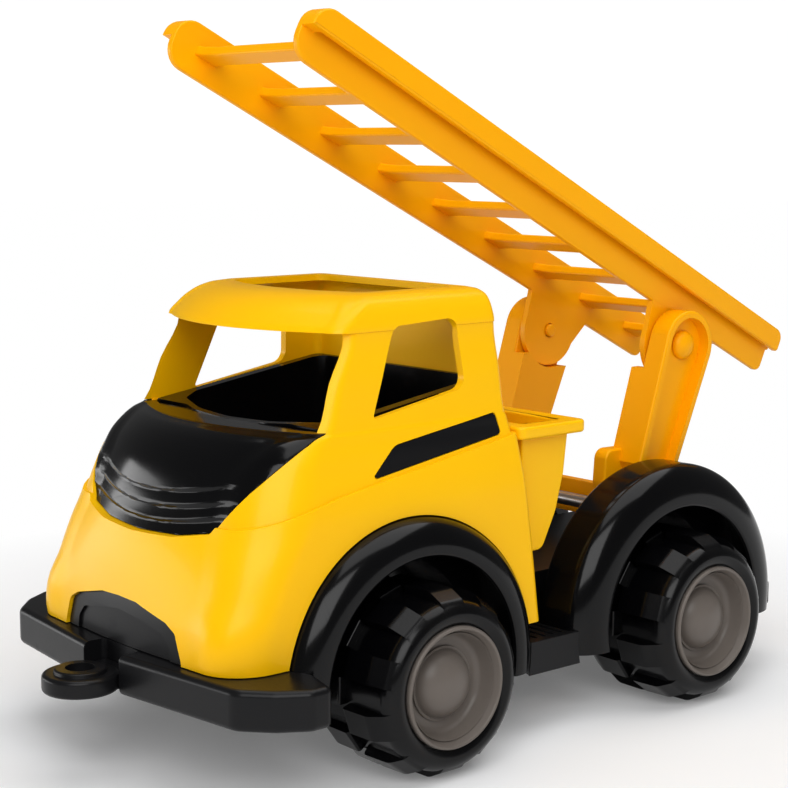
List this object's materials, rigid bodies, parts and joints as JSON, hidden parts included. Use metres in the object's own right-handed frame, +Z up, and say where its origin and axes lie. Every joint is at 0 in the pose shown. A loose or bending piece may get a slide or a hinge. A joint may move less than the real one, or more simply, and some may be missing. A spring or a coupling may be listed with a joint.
{
  "type": "toy ladder truck",
  "caption": "Plastic toy ladder truck: open cab, black nose and mudguards, balloon tyres, rear bin and a lifting ladder on a tilting yoke.",
  "frame": {"origin": "middle of the footprint, on the ground the tyres stand on", "axes": "+X to the truck's left side, +Y from the nose to the tail, +Z up; the truck faces -Y"},
  "size_m": [0.1608, 0.3142, 0.2433],
  "materials": {
    "body_yellow": "satin-gloss moulded plastic",
    "ladder_yellow": "satin-gloss moulded plastic, slightly more orange",
    "gloss_black": "high-gloss black",
    "matte_black": "satin to matte black",
    "tyre_black": "glossy soft plastic tyre",
    "hub_grey": "satin warm grey plastic",
    "bright_steel": "plain drawn steel rod"
  },
  "bodies": {
    "truck": {"cab_shell": "body_yellow", "rear_bin": "body_yellow", "hood_tub": "gloss_black", "grille": "matte_black", "chassis": "matte_black", "front_bumper": "matte_black", "tow_ring": "matte_black", "rear_bar": "matte_black", "yoke_pin": "bright_steel", "axle_front": "bright_steel", "axle_rear": "bright_steel", "side_trim_left": "matte_black", "running_board_left": "matte_black", "mudguard_front_left": "gloss_black", "mudguard_rear_left": "gloss_black", "side_trim_right": "matte_black", "running_board_right": "matte_black", "mudguard_front_right": "gloss_black", "mudguard_rear_right": "gloss_black", "screw_1": "bright_steel", "screw_2": "bright_steel", "screw_3": "bright_steel", "screw_4": "bright_steel"},
    "yoke": {"yoke": "ladder_yellow", "pivot_pin_left": "ladder_yellow", "pivot_pin_right": "ladder_yellow"},
    "ladder": {"ladder": "ladder_yellow"},
    "wheel_front_left": {"tyre_front_left": "tyre_black", "hub_front_left": "hub_grey", "hub_cap_front_left": "hub_grey"},
    "wheel_front_right": {"tyre_front_right": "tyre_black", "hub_front_right": "hub_grey", "hub_cap_front_right": "hub_grey"},
    "wheel_rear_left": {"tyre_rear_left": "tyre_black", "hub_rear_left": "hub_grey", "hub_cap_rear_left": "hub_grey"},
    "wheel_rear_right": {"tyre_rear_right": "tyre_black", "hub_rear_right": "hub_grey", "hub_cap_rear_right": "hub_grey"}
  },
  "joints": [
    {"name": "yoke_tilt", "type": "hinge", "parent": "truck", "child": "yoke", "pos_m": [0, 0.07338, 0.0637], "axis": [1, 0, 0], "range_deg": [-10, 14]},
    {"name": "ladder_lift", "type": "hinge", "parent": "yoke", "child": "ladder", "pos_m": [0, 0.09538, 0.1257], "axis": [-1, 0, 0], "range_deg": [-14, 45]},
    {"name": "wheel_front_left_spin", "type": "hinge", "parent": "truck", "child": "wheel_front_left", "pos_m": [0.059, -0.05562, 0.0307], "axis": [1, 0, 0], "continuous": true},
    {"name": "wheel_front_right_spin", "type": "hinge", "parent": "truck", "child": "wheel_front_right", "pos_m": [-0.059, -0.05562, 0.0307], "axis": [1, 0, 0], "continuous": true},
    {"name": "wheel_rear_left_spin", "type": "hinge", "parent": "truck", "child": "wheel_rear_left", "pos_m": [0.059, 0.06998, 0.0307], "axis": [1, 0, 0], "continuous": true},
    {"name": "wheel_rear_right_spin", "type": "hinge", "parent": "truck", "child": "wheel_rear_right", "pos_m": [-0.059, 0.06998, 0.0307], "axis": [1, 0, 0], "continuous": true}
  ]
}
